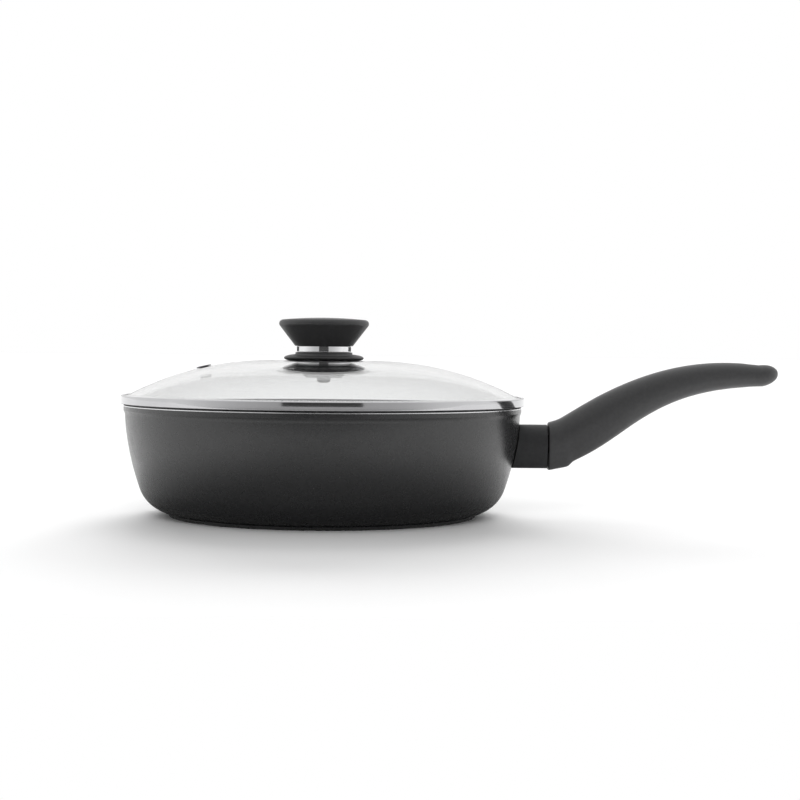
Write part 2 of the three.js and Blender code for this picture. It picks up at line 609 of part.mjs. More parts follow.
// Finishes
const coatedCast = new THREE.MeshStandardMaterial({ color: '#3b3c3e', roughness: 0.45, metalness: 0.3 });
const plateSteel = new THREE.MeshStandardMaterial({ color: '#9a9a98', roughness: 0.4, metalness: 1 });
const moulded = new THREE.MeshStandardMaterial({ color: '#35363a', roughness: 0.55, metalness: 0 });
const polishedSteel = new THREE.MeshStandardMaterial({ color: '#c8c8cc', roughness: 0.12, metalness: 1 });
const zincSteel = new THREE.MeshStandardMaterial({ color: '#a9abad', roughness: 0.35, metalness: 1 });
const darkSteel = new THREE.MeshStandardMaterial({ color: '#4d4d4f', roughness: 0.35, metalness: 1 });
const brass = new THREE.MeshStandardMaterial({ color: '#b08d45', roughness: 0.35, metalness: 1 });
const silicone = new THREE.MeshStandardMaterial({ color: '#202123', roughness: 0.7, metalness: 0 });
const clearGlass = new THREE.MeshStandardMaterial({
  color: '#e8f0ef',
  roughness: 0.05,
  metalness: 0,
  transparent: true,
  opacity: 0.3,
});

const pan = new THREE.Group();
pan.add(piece('pan_body', panBody(), coatedCast));
pan.add(piece('induction_plate', inductionPlate(), plateSteel));

// The handle's frame stands at the middle of the grip's front face.
const handle = new THREE.Group();
handle.position.set(gripFront, 0, handleHeight);
handle.add(piece('flame_guard', flameGuard(), moulded));
handle.add(piece('handle_grip', handleGrip(), moulded));
const screwPlace = new THREE.Group();
screwPlace.position.set(HANDLE_SCREW_PLACE, 0, 0);
const tongueBottom = TONGUE_LIFT - TONGUE_HEIGHT / 2;
const tongueTop = tongueBottom + TONGUE_HEIGHT;
const tongueInsert = ring(INSERT_BORE, INSERT_RADIUS, tongueBottom, tongueTop, SMALL_SEGMENTS);
screwPlace.add(piece('tongue_insert', tongueInsert, zincSteel));
const washerTop = screwSeat() - SEAT_GAP;
const washerBottom = washerTop - HANDLE_WASHER_THICKNESS;
const washerBore = HANDLE_SCREW_RADIUS + FIT_GAP;
const handleWasher = ring(washerBore, HANDLE_SCREW_HEAD_RADIUS, washerBottom, washerTop, SMALL_SEGMENTS);
screwPlace.add(piece('handle_washer', handleWasher, zincSteel));
const headSeat = washerBottom - SEAT_GAP;
const shankLength = tongueBottom + HANDLE_SCREW_BITE - headSeat;
const handleScrew = piece(
  'handle_screw',
  screw(HANDLE_SCREW_RADIUS, shankLength, HANDLE_SCREW_HEAD_RADIUS, HANDLE_SCREW_HEAD_HEIGHT),
  zincSteel,
);
handleScrew.position.z = headSeat;
screwPlace.add(handleScrew);
handle.add(screwPlace);
pan.add(handle);

// The lid's frame stands at the top of the rim.
const lid = new THREE.Group();
lid.position.set(0, 0, PAN_HEIGHT);
lid.add(piece('lid_glass', lidGlass(), clearGlass));
lid.add(piece('lid_band', lidBand(), polishedSteel));
const vent = ventFrame();
vent.add(piece('vent_eyelet', ventEyelet(), darkSteel));
lid.add(vent);

// The knob's pieces stand on each other, up from the glass.
const knobGasket = ring(GLASS_BORE, GASKET_RADIUS, 0, GASKET_THICKNESS, KNOB_SEGMENTS);
const above = [
  ['knob_gasket', knobGasket, GASKET_THICKNESS, silicone],
  ['lower_collar', collar(LOWER_COLLAR_HEIGHT), LOWER_COLLAR_HEIGHT, polishedSteel],
  ['heat_guard', heatGuard(), HEAT_GUARD_HEIGHT, moulded],
  ['upper_collar', collar(UPPER_COLLAR_HEIGHT), UPPER_COLLAR_HEIGHT, polishedSteel],
];
let height = knobSeat + SEAT_GAP;
for (const [name, body, thickness, material] of above) {
  const mesh = piece(name, body, material);
  mesh.position.z = height;
  lid.add(mesh);
  height += thickness + SEAT_GAP;
}
const capFoot = height;
const knobCapMesh = piece('knob_cap', knobCap(), moulded);
knobCapMesh.position.z = capFoot;
lid.add(knobCapMesh);
const bush = piece('knob_insert', ring(BUSH_BORE, BUSH_RADIUS, 0, BUSH_LENGTH, SMALL_SEGMENTS), brass);
bush.position.z = capFoot;
lid.add(bush);

// The screw's stack hangs below the glass.
const boreFit = KNOB_SCREW_RADIUS + FIT_GAP;
const underGasket = ring(GLASS_BORE, UNDER_GASKET_RADIUS, 0, GASKET_THICKNESS, KNOB_SEGMENTS);
const underWasher = ring(boreFit, UNDER_WASHER_RADIUS, 0, UNDER_WASHER_THICKNESS, KNOB_SEGMENTS);
const below = [
  ['under_gasket', underGasket, GASKET_THICKNESS, silicone],
  ['under_washer', underWasher, UNDER_WASHER_THICKNESS, zincSteel],
  ['spring_washer', springWasher(), SPRING_WASHER_THICKNESS, zincSteel],
];
let depth = knobSeat - GLASS_THICKNESS;
for (const [name, body, thickness, material] of below) {
  depth -= thickness + SEAT_GAP;
  const mesh = piece(name, body, material);
  mesh.position.z = depth;
  lid.add(mesh);
}
const knobScrewSeat = depth - SEAT_GAP;
const knobScrewLength = capFoot + KNOB_SCREW_BITE - knobScrewSeat;
const knobScrew = piece(
  'knob_screw',
  screw(KNOB_SCREW_RADIUS, knobScrewLength, KNOB_SCREW_HEAD_RADIUS, KNOB_SCREW_HEAD_HEIGHT),
  zincSteel,
);
knobScrew.position.z = knobScrewSeat;
lid.add(knobScrew);

const part = new THREE.Group();
part.add(pan);
part.add(lid);

export default part;
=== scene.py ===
import math

import bmesh
import bpy
import numpy as np
from mathutils import Matrix, Vector


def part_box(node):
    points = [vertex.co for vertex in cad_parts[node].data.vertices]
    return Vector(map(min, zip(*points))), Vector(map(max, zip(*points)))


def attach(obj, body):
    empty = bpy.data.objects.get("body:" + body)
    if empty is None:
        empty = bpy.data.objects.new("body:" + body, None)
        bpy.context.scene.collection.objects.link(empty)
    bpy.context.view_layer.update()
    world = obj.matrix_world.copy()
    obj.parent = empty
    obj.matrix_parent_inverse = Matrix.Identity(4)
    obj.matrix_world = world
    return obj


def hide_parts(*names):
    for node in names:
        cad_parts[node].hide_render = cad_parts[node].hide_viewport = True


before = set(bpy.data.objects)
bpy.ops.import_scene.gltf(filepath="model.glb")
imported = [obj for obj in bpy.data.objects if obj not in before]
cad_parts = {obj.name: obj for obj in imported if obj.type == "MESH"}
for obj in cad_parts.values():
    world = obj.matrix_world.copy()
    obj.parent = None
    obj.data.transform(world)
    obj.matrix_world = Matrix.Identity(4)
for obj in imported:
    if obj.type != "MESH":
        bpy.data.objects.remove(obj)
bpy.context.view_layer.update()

# Cast vessel
# The pan's body is one aluminium casting: a deep round wall, a turned lip and a foot ring, with a square
# tongue on its side for the handle. It is coated dark inside and out, and then the rim is turned bright.
mm = 0.001
right_angle = math.pi / 2
full_turn = 2 * math.pi
rim_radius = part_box("pan_body")[1].y
pan_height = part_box("pan_body")[1].z
plate_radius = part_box("induction_plate")[1].y
plate_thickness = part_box("induction_plate")[1].z
fit_gap = 0.3 * mm
seat_gap = 0.05 * mm
wall_thickness = 3.6 * mm
wall_lean = math.radians(3.5)
foot_radius = rim_radius - 29.5 * mm
foot_height = 2 * mm
floor_top = foot_height + 7 * mm
floor_rings = (90 * mm, 75 * mm, 60 * mm, 45 * mm, 30 * mm, 15 * mm, 0)
corner_radius = 24 * mm
corner_inset = 3.7 * mm
inner_corner_radius = 18 * mm
lip_foot = Vector((rim_radius - 0.9 * mm, pan_height - 6.9 * mm))
lip_land = 3.2 * mm
rim_chamfer = 0.4 * mm
inner_rim_chamfer = 0.6 * mm
bare_line = 0.55 * mm
tongue_half = 6 * mm
tongue_lift = 2 * mm
tongue_reach = 20 * mm
tongue_ease = 1 * mm
guard_length = 20.4 * mm
seam_gap = 0.7 * mm
handle_height = pan_height - 25.9 * mm
handle_screw_place = 7.5 * mm
bush_radius = 3.8 * mm

# The wall is one arc that leaves the lip at its lean and runs smoothly into the corner's arc.
corner = Vector((foot_radius - corner_inset, foot_height + corner_radius))
lip_normal = Vector((math.cos(wall_lean), -math.sin(wall_lean)))
corner_to_lip = lip_foot - corner
corner_room = corner_to_lip.dot(lip_normal) - corner_radius
wall_bow = (corner_to_lip.length_squared - corner_radius ** 2) / (2 * corner_room)
wall_centre = lip_foot - lip_normal * wall_bow
wall_foot_angle = math.atan2(corner.y - wall_centre.y, corner.x - wall_centre.x)


def wall_radius(height, offset=0.0):
    return wall_centre.x + math.sqrt((wall_bow + offset) ** 2 - (height - wall_centre.y) ** 2)


grip_front = wall_radius(handle_height) + guard_length + seam_gap
screw_stand = Matrix.Translation((grip_front + handle_screw_place, 0, 0))


def arc(centre, radius, start, end, steps):
    turns = np.linspace(start, end, steps + 1)
    return [(centre[0] + radius * math.cos(t), centre[1] + radius * math.sin(t)) for t in turns]


def rod_outline(radius, bottom, top):
    return [(0, bottom), (radius, bottom), (radius, top), (0, top)]


axis_width = 1e-6


# Rounds each corner of an outline that turns by more than 20 degrees. A point held close on each side of the
# round keeps the flat beside it flat in the light.
def eased(outline, radius, steps=4):
    least_turn = math.radians(20)
    most_of_side = 0.45
    hold, most_hold = 0.3, 0.04
    points = [Vector(p) for p in outline]
    on_axis = points[0].x < axis_width
    soft = []
    for at, point in enumerate(points):
        back = points[at - 1] - point
        ahead = points[(at + 1) % len(points)] - point
        turn = math.pi - back.angle(ahead, math.pi)
        if turn < least_turn or (on_axis and at in (0, len(points) - 1)):
            soft.append(point[:])
            continue
        reach = min(radius * math.tan(turn / 2), most_of_side * back.length, most_of_side * ahead.length)
        start = point + back.normalized() * reach
        end = point + ahead.normalized() * reach
        soft.append((start + back.normalized() * min(hold * reach, most_hold * back.length))[:])
        for t in np.linspace(0, 1, steps + 1):
            soft.append((start * (1 - t) ** 2 + point * 2 * t * (1 - t) + end * t ** 2)[:])
        soft.append((end + ahead.normalized() * min(hold * reach, most_hold * ahead.length))[:])
    return soft


def as_piece(name, body):
    bmesh.ops.remove_doubles(body, verts=body.verts, dist=1e-7)
    bmesh.ops.recalc_face_normals(body, faces=body.faces)
    mesh = bpy.data.meshes.new(name)
    body.to_mesh(mesh)
    body.free()
    piece = bpy.data.objects.new(name, mesh)
    bpy.context.scene.collection.objects.link(piece)
    return piece


# Turns an outline of radius and height about the upright axis. An outline that doesn't start on the axis
# closes on itself.
def turned(name, outline, segments):
    body = bmesh.new()
    turns = np.linspace(0, full_turn, segments, endpoint=False)
    rings = []
    for radius, height in outline:
        if radius < axis_width:
            rings.append([body.verts.new((0, 0, height))])
        else:
            ring = [(radius * math.cos(t), radius * math.sin(t), height) for t in turns]
            rings.append([body.verts.new(point) for point in ring])
    spans = list(zip(rings, rings[1:]))
    if outline[0][0] >= axis_width:
        spans.append((rings[-1], rings[0]))
    for low, high in spans:
        for at in range(segments):
            after = (at + 1) % segments
            corners = [low[at % len(low)], low[after % len(low)]]
            corners += [high[after % len(high)], high[at % len(high)]]
            corners = list(dict.fromkeys(corners))
            if len(corners) > 2:
                body.faces.new(corners)
    return as_piece(name, body)


# A closed skin over rings of points that follow each other, with a fan over each end.
def lofted(name, rings):
    body = bmesh.new()
    rows = [[body.verts.new(p) for p in ring] for ring in rings]
    sides = len(rings[0])
    for near, far in zip(rows, rows[1:]):
        for at in range(sides):
            after = (at + 1) % sides
            body.faces.new((near[at], near[after], far[after], far[at]))
    for row, ring in ((rows[0], rings[0]), (rows[-1], rings[-1])):
        middle = body.verts.new(np.mean(np.array(ring), axis=0))
        for at in range(sides):
            body.faces.new((row[at], row[(at + 1) % sides], middle))
    return as_piece(name, body)


# Joins a tool shape to a piece or cuts it out, and takes the tool away.
def worked(piece, tool, how="DIFFERENCE"):
    step = piece.modifiers.new("work", "BOOLEAN")
    step.operation = how
    step.solver = "EXACT"
    step.object = tool
    shaped = bpy.data.meshes.new_from_object(piece.evaluated_get(bpy.context.evaluated_depsgraph_get()))
    shaped.name = piece.name
    piece.modifiers.clear()
    piece.data = shaped
    bpy.data.objects.remove(tool)


def smoothed(piece):
    piece.data.shade_smooth()
    piece.data.set_sharp_from_angle(angle=math.radians(32))


# The rings of a bar along the handle, with eased long edges and a rounded far end.
def bar_rings(start, end, half, middle, ease):
    def ring(place, inset):
        side, low, high = half - inset, middle - half + inset, middle + half - inset
        corners = [(side, low), (side, high), (-side, high), (-side, low)]
        return [(place, y, z) for y, z in eased(corners, ease)]
    part = 0.3 * ease
    return [ring(start, 0), ring(end - ease, 0), ring(end - part, part), ring(end, ease)]


inner_bow = wall_bow - wall_thickness
inner_corner_drop = floor_top + inner_corner_radius - wall_centre.y
inner_corner_reach = math.sqrt((inner_bow - inner_corner_radius) ** 2 - inner_corner_drop ** 2)
inner_corner = (wall_centre.x + inner_corner_reach, floor_top + inner_corner_radius)
inner_foot_angle = math.atan2(inner_corner_drop, inner_corner_reach)
inner_rim_height = pan_height - inner_rim_chamfer
inner_rim_angle = math.asin((inner_rim_height - wall_centre.y) / inner_bow)
inner_rim_radius = wall_radius(inner_rim_height, -wall_thickness)
chamfer_foot = pan_height - rim_chamfer
land_foot = chamfer_foot - lip_land
foot_angle = -math.acos(corner_inset / corner_radius)
recess_radius = plate_radius + fit_gap
recess_top = plate_thickness + seat_gap
vessel_outline = [(0, recess_top), (recess_radius, recess_top), (recess_radius, 0), (foot_radius, 0)]
vessel_outline += arc(corner, corner_radius, foot_angle, wall_foot_angle, steps=24)
vessel_outline += arc(wall_centre, wall_bow, wall_foot_angle, -wall_lean, steps=32)[1:]
for t in np.linspace(0.2, 1, 5):
    lip_x = lip_foot.x * ((1 - t) ** 2 + 2 * t * (1 - t)) + rim_radius * t ** 2
    lip_z = lip_foot.y * (1 - t) ** 2 + (lip_foot.y + land_foot) * t * (1 - t) + land_foot * t ** 2
    vessel_outline.append((lip_x, lip_z))
vessel_outline += [(rim_radius, chamfer_foot - bare_line), (rim_radius, chamfer_foot)]
vessel_outline += [(rim_radius - rim_chamfer, pan_height), (inner_rim_radius + inner_rim_chamfer, pan_height)]
vessel_outline += arc(wall_centre, inner_bow, inner_rim_angle, inner_foot_angle, steps=32)
vessel_outline += arc(inner_corner, inner_corner_radius, inner_foot_angle, -right_angle, steps=20)[1:]
vessel_outline += [(radius, floor_top) for radius in floor_rings]
vessel = turned("vessel", eased(vessel_outline, radius=0.35 * mm), segments=256)
tongue_middle = handle_height + tongue_lift
tongue_root = wall_radius(handle_height, -wall_thickness / 2)
tongue_end = grip_front + tongue_reach
tongue = lofted("tongue", bar_rings(tongue_root, tongue_end, tongue_half, tongue_middle, tongue_ease))
worked(vessel, tongue, "UNION")
bush_hole = turned("bush_hole", rod_outline(bush_radius + fit_gap, 0, 100 * mm), segments=48)
bush_hole.data.transform(screw_stand)
worked(vessel, bush_hole)
smoothed(vessel)


# A finish starts as one shader with its plain values set.
def new_finish(name, roughness, metallic=0.0, ior=1.5):
    finish = bpy.data.materials.new(name)
    finish.use_nodes = True
    shader = shader_of(finish)
    shader.inputs["Roughness"].default_value = roughness
    shader.inputs["Metallic"].default_value = metallic
    shader.inputs["IOR"].default_value = ior
    return finish


def shader_of(finish):
    return finish.node_tree.nodes["Principled BSDF"]


def node(owner, kind, **settings):
    made = owner.node_tree.nodes.new(kind)
    for name, value in settings.items():
        setattr(made, name, value)
    return made


def link(owner, source, target):
    owner.node_tree.links.new(source, target)


# A place on the piece in its own metres, its distance from the upright axis, and its height.
def place_on(finish):
    return node(finish, "ShaderNodeTexCoord").outputs["Object"]


def radius_on(finish):
    flat = node(finish, "ShaderNodeVectorMath", operation="MULTIPLY")
    link(finish, place_on(finish), flat.inputs[0])
    flat.inputs[1].default_value = (1, 1, 0)
    length = node(finish, "ShaderNodeVectorMath", operation="LENGTH")
    link(finish, flat.outputs["Vector"], length.inputs[0])
    return length.outputs["Value"]


def height_on(finish):
    upright = node(finish, "ShaderNodeSeparateXYZ")
    link(finish, place_on(finish), upright.inputs[0])
    return upright.outputs["Z"]


# Irregular grain with grains of a given size.
def grain(finish, size, detail=3.0):
    noise = node(finish, "ShaderNodeTexNoise")
    link(finish, place_on(finish), noise.inputs["Vector"])
    noise.inputs["Scale"].default_value = 1 / size
    noise.inputs["Detail"].default_value = detail
    return noise.outputs["Fac"]


# Fine irregular lines that follow one measure of the piece, such as its radius.
def lines(finish, measure, pitch):
    noise = node(finish, "ShaderNodeTexNoise", noise_dimensions="1D")
    link(finish, measure, noise.inputs["W"])
    noise.inputs["Scale"].default_value = 1 / pitch
    noise.inputs["Detail"].default_value = 4
    return noise.outputs["Fac"]


# Spreads a value that runs from start to end over the range from low to high.
def spread(owner, value, start, end, low, high, **settings):
    ramp = node(owner, "ShaderNodeMapRange", **settings)
    link(owner, value, ramp.inputs["Value"])
    for name, number in zip(("From Min", "From Max", "To Min", "To Max"), (start, end, low, high)):
        ramp.inputs[name].default_value = number
    return ramp.outputs["Result"]


def tint(finish, pattern, dark, light, low=0.3, high=0.7):
    ramp = node(finish, "ShaderNodeValToRGB")
    link(finish, pattern, ramp.inputs["Fac"])
    for stop, place, colour in zip(ramp.color_ramp.elements, (low, high), (dark, light)):
        stop.position = place
        stop.color = (*colour, 1)
    link(finish, ramp.outputs["Color"], shader_of(finish).inputs["Base Color"])


def dull(finish, pattern, least, most):
    roughness = spread(finish, pattern, start=0.3, end=0.7, low=least, high=most)
    link(finish, roughness, shader_of(finish).inputs["Roughness"])


def emboss(finish, pattern, depth):
    bump = node(finish, "ShaderNodeBump")
    link(finish, pattern, bump.inputs["Height"])
    bump.inputs["Distance"].default_value = depth
    link(finish, bump.outputs["Normal"], shader_of(finish).inputs["Normal"])


outer_coat = new_finish("outer_coat", roughness=0.27, ior=1.64)
tint(outer_coat, grain(outer_coat, size=1.1 * mm), (0.0085, 0.0087, 0.0092), (0.0135, 0.0137, 0.0143))
dull(outer_coat, grain(outer_coat, size=6 * mm), least=0.24, most=0.30)
emboss(outer_coat, grain(outer_coat, size=0.9 * mm, detail=2), depth=0.012 * mm)
bare_rim = new_finish("bare_rim", roughness=0.22, metallic=1.0)
turning = lines(bare_rim, radius_on(bare_rim), pitch=0.25 * mm)
tint(bare_rim, turning, (0.66, 0.66, 0.67), (0.78, 0.78, 0.79))
dull(bare_rim, grain(bare_rim, size=4 * mm), least=0.18, most=0.28)
inner_coat = new_finish("inner_coat", roughness=0.4)
tint(inner_coat, grain(inner_coat, size=0.8 * mm), (0.010, 0.010, 0.011), (0.019, 0.019, 0.020))
dull(inner_coat, grain(inner_coat, size=9 * mm), least=0.33, most=0.42)
emboss(inner_coat, lines(inner_coat, radius_on(inner_coat), pitch=0.7 * mm), depth=0.02 * mm)
outer_side, rim_side, inner_side = range(3)
floor_margin = 0.1 * mm
for finish in (outer_coat, bare_rim, inner_coat):
    vessel.data.materials.append(finish)
for face in vessel.data.polygons:
    across = math.hypot(face.center.x, face.center.y)
    inside = across < wall_radius(face.center.z) - wall_thickness / 2
    bare_depth = inner_rim_chamfer if inside else rim_chamfer + bare_line
    if face.center.z > pan_height - bare_depth:
        face.material_index = rim_side
    elif inside and face.center.z > floor_top - floor_margin:
        face.material_index = inner_side
    else:
        face.material_index = outer_side
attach(vessel, "pan")
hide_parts("pan_body")

# Base plate
# A thin steel disc pressed into the underside so that the pan heats on an induction hob. It has rows of
# holes, which the soft aluminium fills as it is pressed in, and its face is turned flat with the foot.
first_groove = 14 * mm
groove_pitch = 8 * mm
groove_width = 0.8 * mm
groove_depth = 0.15 * mm
plain_edge = 6 * mm
base_outline = [(0, 0)]
for groove in np.arange(first_groove, plate_radius - plain_edge, groove_pitch):
    base_outline += [(groove, 0), (groove + groove_width / 2, groove_depth), (groove + groove_width, 0)]
base_outline += [(plate_radius, 0), (plate_radius, plate_thickness), (0, plate_thickness)]
base_plate = turned("base_plate", eased(base_outline, radius=0.3 * mm), segments=192)
smoothed(base_plate)
hole_pitch = 5.5 * mm
base_steel = new_finish("base_steel", roughness=0.34, metallic=1.0)
pegs = node(base_steel, "ShaderNodeTexVoronoi", voronoi_dimensions="2D")
link(base_steel, place_on(base_steel), pegs.inputs["Vector"])
pegs.inputs["Scale"].default_value = 1 / hole_pitch
pegs.inputs["Randomness"].default_value = 0
tint(base_steel, pegs.outputs["Distance"], (0.68, 0.68, 0.69), (0.4, 0.4, 0.39), low=0.26, high=0.3)
dull(base_steel, lines(base_steel, radius_on(base_steel), pitch=0.5 * mm), least=0.26, most=0.42)
emboss(base_steel, lines(base_steel, radius_on(base_steel), pitch=0.35 * mm), depth=0.012 * mm)
base_plate.data.materials.append(base_steel)
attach(base_plate, "pan")
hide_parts("induction_plate")

# Threaded bush
# A plated steel bush with an inner thread, pressed into the tongue to take the handle's screw. It sits out
# of sight inside the grip, so its plain solid stays and only gets the finish.
zinc = new_finish("zinc", roughness=0.34, metallic=1.0)
tint(zinc, grain(zinc, size=1.5 * mm), (0.5, 0.51, 0.52), (0.64, 0.65, 0.66))
dull(zinc, grain(zinc, size=0.6 * mm), least=0.26, most=0.4)
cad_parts["tongue_insert"].data.materials.clear()
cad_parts["tongue_insert"].data.materials.append(zinc)

# Flame guard
# A short moulded sleeve slid over the tongue, which keeps the flame and the hot wall away from the grip. Its
# near end leans with the wall, and its far end leaves a fine seam in front of the grip.
guard_half_width = 11.5 * mm
guard_half_height = 14.3 * mm
guard_end = grip_front - seam_gap
guard_ease = 0.5 * mm
guard_squareness = 6
guard_draw = 1.8 * mm
overrun = 10 * mm
roundness = 2.5
handle_sides = 96
crease_width = 0.003


# A rounded section between a lower and an upper point of the side view, given as place and height. Its lower
# half can be squarer than the upper one, and drawn in towards the bottom from a crease at half height.
def section(lower, upper, half_width, lower_roundness=roundness, drawn_in=0.0):
    middle = ((lower[0] + upper[0]) / 2, (lower[1] + upper[1]) / 2)
    up = (upper[0] - middle[0], upper[1] - middle[1])
    crease = (math.pi + crease_width, full_turn - crease_width)
    ring = []
    for t in sorted([*np.linspace(0, full_turn, handle_sides, endpoint=False), *crease]):
        power = 2 / (roundness if t <= math.pi else lower_roundness)
        across = math.copysign(abs(math.cos(t)) ** power, math.cos(t))
        along = math.copysign(abs(math.sin(t)) ** power, math.sin(t))
        width = half_width + drawn_in * min(along, 0)
        ring.append((middle[0] + up[0] * along, width * across, middle[1] + up[1] * along))
    return ring


def guard_ring(place, inset):
    low = handle_height - guard_half_height + inset
    high = handle_height + guard_half_height - inset
    return section((place, low), (place, high), guard_half_width - inset, guard_squareness, guard_draw)


near_ring = [(wall_radius(z, fit_gap), y, z) for _, y, z in guard_ring(0, 0)]
far_ring = guard_ring(guard_end - guard_ease, 0)
guard_rings = [near_ring]
for t in np.linspace(0.1, 1, 10):
    guard_rings.append([tuple(a + (b - a) * t for a, b in zip(p, q)) for p, q in zip(near_ring, far_ring)])
for t in np.linspace(0.2, 1, 5) * right_angle:
    guard_rings.append(guard_ring(guard_end - guard_ease * (1 - math.sin(t)), guard_ease * (1 - math.cos(t))))
flame_guard = lofted("flame_guard_sleeve", guard_rings)


def tongue_room(start, end):
    return lofted("tongue_room", bar_rings(start, end, tongue_half + fit_gap, tongue_middle, tongue_ease))


worked(flame_guard, tongue_room(wall_radius(handle_height) - overrun, guard_end + overrun))
smoothed(flame_guard)
moulded_black = new_finish("moulded_black", roughness=0.5)
moulded_grain = grain(moulded_black, size=2.2 * mm)
tint(moulded_black, moulded_grain, (0.0105, 0.0107, 0.0115), (0.0165, 0.0167, 0.0175))
dull(moulded_black, grain(moulded_black, size=0.5 * mm), least=0.44, most=0.56)
emboss(moulded_black, grain(moulded_black, size=0.45 * mm, detail=2), depth=0.015 * mm)
flame_guard.data.materials.append(moulded_black)
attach(flame_guard, "pan")
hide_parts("flame_guard")

# Grip
# The long handle, moulded in one piece from a hard dark plastic: a screw boss under its front, a belly for
# the palm, and a thin end with a slot to hang it by. It slides over the tongue, and one screw holds it.
grip_length = 151 * mm
grip_rise = 47.8 * mm
grip_widths = (25 * mm, 29 * mm, 25 * mm)
grip_end_half = 7.2 * mm
grip_ease = 0.8 * mm
tip_length = 12 * mm
tip_lift = 1.4 * mm
tip_turn = math.radians(88)
end_place = grip_length - tip_length
front_top = np.array((0, 15.8)) * mm
front_bottom = np.array((0, -15.6)) * mm
shoulder = np.array((8, 18.2)) * mm
boss_end = np.array((13, -13)) * mm
under_start = np.array((16.6, -9.3)) * mm
top_end = np.array((end_place, grip_rise + grip_end_half))
under_end = np.array((end_place, grip_rise - grip_end_half))
boss_squareness = 2.5
boss_draw = 1.2 * mm
boss_fade = 0.35


# A smooth line between two points, which leaves and reaches them at slopes in degrees, each held for a reach.
def sweep(start, start_slope, start_reach, end, end_slope, end_reach):
    t = np.linspace(0, 1, 241)[:, None]
    slopes = [math.radians(slope) for slope in (start_slope, end_slope)]
    leave, arrive = [np.array((math.cos(slope), math.sin(slope))) for slope in slopes]
    near = start + start_reach * leave
    far = end - end_reach * arrive
    return start * (1 - t) ** 3 + 3 * near * t * (1 - t) ** 2 + 3 * far * t ** 2 * (1 - t) + end * t ** 3


# Points at given shares of the way along a line.
def paced(line, shares):
    run = np.concatenate([[0], np.cumsum(np.linalg.norm(np.diff(line, axis=0), axis=1))])
    return np.column_stack([np.interp(shares * run[-1], run, line[:, axis]) for axis in (0, 1)])


top_line = sweep(
    shoulder, start_slope=34, start_reach=72 * mm, end=top_end, end_slope=-6, end_reach=30 * mm)
under_line = sweep(
    under_start, start_slope=24, start_reach=43 * mm, end=under_end, end_slope=1.5, end_reach=71 * mm)
boss_top = front_top + (shoulder - front_top) * boss_end[0] / under_start[0]
stations = []
for t in np.linspace(0, 1, 14)[:-1]:
    low = front_bottom + (boss_end - front_bottom) * t
    stations.append((low, front_top + (boss_top - front_top) * t, 0.0))
for t in np.linspace(0, 1, 8)[:-1]:
    stations.append((boss_end + (under_start - boss_end) * t, boss_top + (shoulder - boss_top) * t, 0.0))
shares = np.linspace(0, 1, 100)
stations += list(zip(paced(under_line, shares), paced(top_line, shares), shares))

# The boss's step keeps nearly sharp corners, and the shoulder above it runs smoothly into the top.
boss_rounds = 3
shoulder_rounds = 40
smooth_end = 40
for step in range(shoulder_rounds):
    for at in range(1, smooth_end):
        before, (low, high, share), after = stations[at - 1:at + 2]
        if step < boss_rounds:
            low = (before[0] + 2 * low + after[0]) / 4
        high = (before[1] + 2 * high + after[1]) / 4
        stations[at] = (low, high, share)


def grip_half_width(share):
    front, belly, end = grip_widths
    middle = 2 * belly - (front + end) / 2
    return (front * (1 - share) ** 2 + 2 * middle * share * (1 - share) + end * share ** 2) / 2


front_stations = 10
front_under = np.array([low for low, high, share in stations[:front_stations]])
front_over = np.array([high for low, high, share in stations[:front_stations]])
boss_roundness = roundness + boss_squareness
grip_rings = []
for t in np.linspace(0, 1, 6)[:-1] * right_angle:
    place = grip_ease * (1 - math.cos(t))
    inset = grip_ease * (1 - math.sin(t))
    low = np.interp(place, front_under[:, 0], front_under[:, 1]) + inset
    high = np.interp(place, front_over[:, 0], front_over[:, 1]) - inset
    half_width = grip_widths[0] / 2 - inset
    grip_rings.append(section((place, low), (place, high), half_width, boss_roundness, boss_draw))
for low, high, share in stations:
    if low[0] >= grip_ease:
        crisp = max(0, 1 - share / boss_fade)
        squareness = roundness + boss_squareness * crisp
        grip_rings.append(section(low, high, grip_half_width(share), squareness, boss_draw * crisp))
for t in np.linspace(0, 1, 19)[1:] * tip_turn:
    place = grip_length - tip_length * (1 - math.sin(t))
    middle = grip_rise + tip_lift * math.sin(t)
    half = grip_end_half * math.cos(t)
    half_width = grip_widths[2] / 2 * math.cos(t)
    grip_rings.append(section((place, middle - half), (place, middle + half), half_width))
grip = lofted("grip", grip_rings)

# The hanging slot is cut with rounded edges that follow the grip's curved faces.
slot_half = 4 * mm
slot_end = grip_length - 8 * mm - slot_half
slot_start = slot_end - 7 * mm
slot_ease = 1.1 * mm
slot_overrun = 2 * mm
half_turn = np.linspace(-right_angle, right_angle, 17)
straight = np.linspace(slot_end, slot_start, 6)[1:-1]
slot_path = [(slot_end, t) for t in half_turn] + [(x, right_angle) for x in straight]
slot_path += [(slot_start, t + math.pi) for t in half_turn] + [(x, -right_angle) for x in straight[::-1]]


def slot_ring(offset, face, rise):
    ring = []
    for place, t in slot_path:
        x = place + (slot_half + offset) * math.cos(t)
        y = (slot_half + offset) * math.sin(t)
        high = np.interp(x, top_line[:, 0], top_line[:, 1])
        low = np.interp(x, under_line[:, 0], under_line[:, 1])
        across = min(abs(y) / (grip_widths[2] / 2), 1)
        bulge = (high - low) / 2 * (1 - across ** roundness) ** (1 / roundness)
        ring.append((x, y, (high + low) / 2 + face * bulge + rise))
    return ring


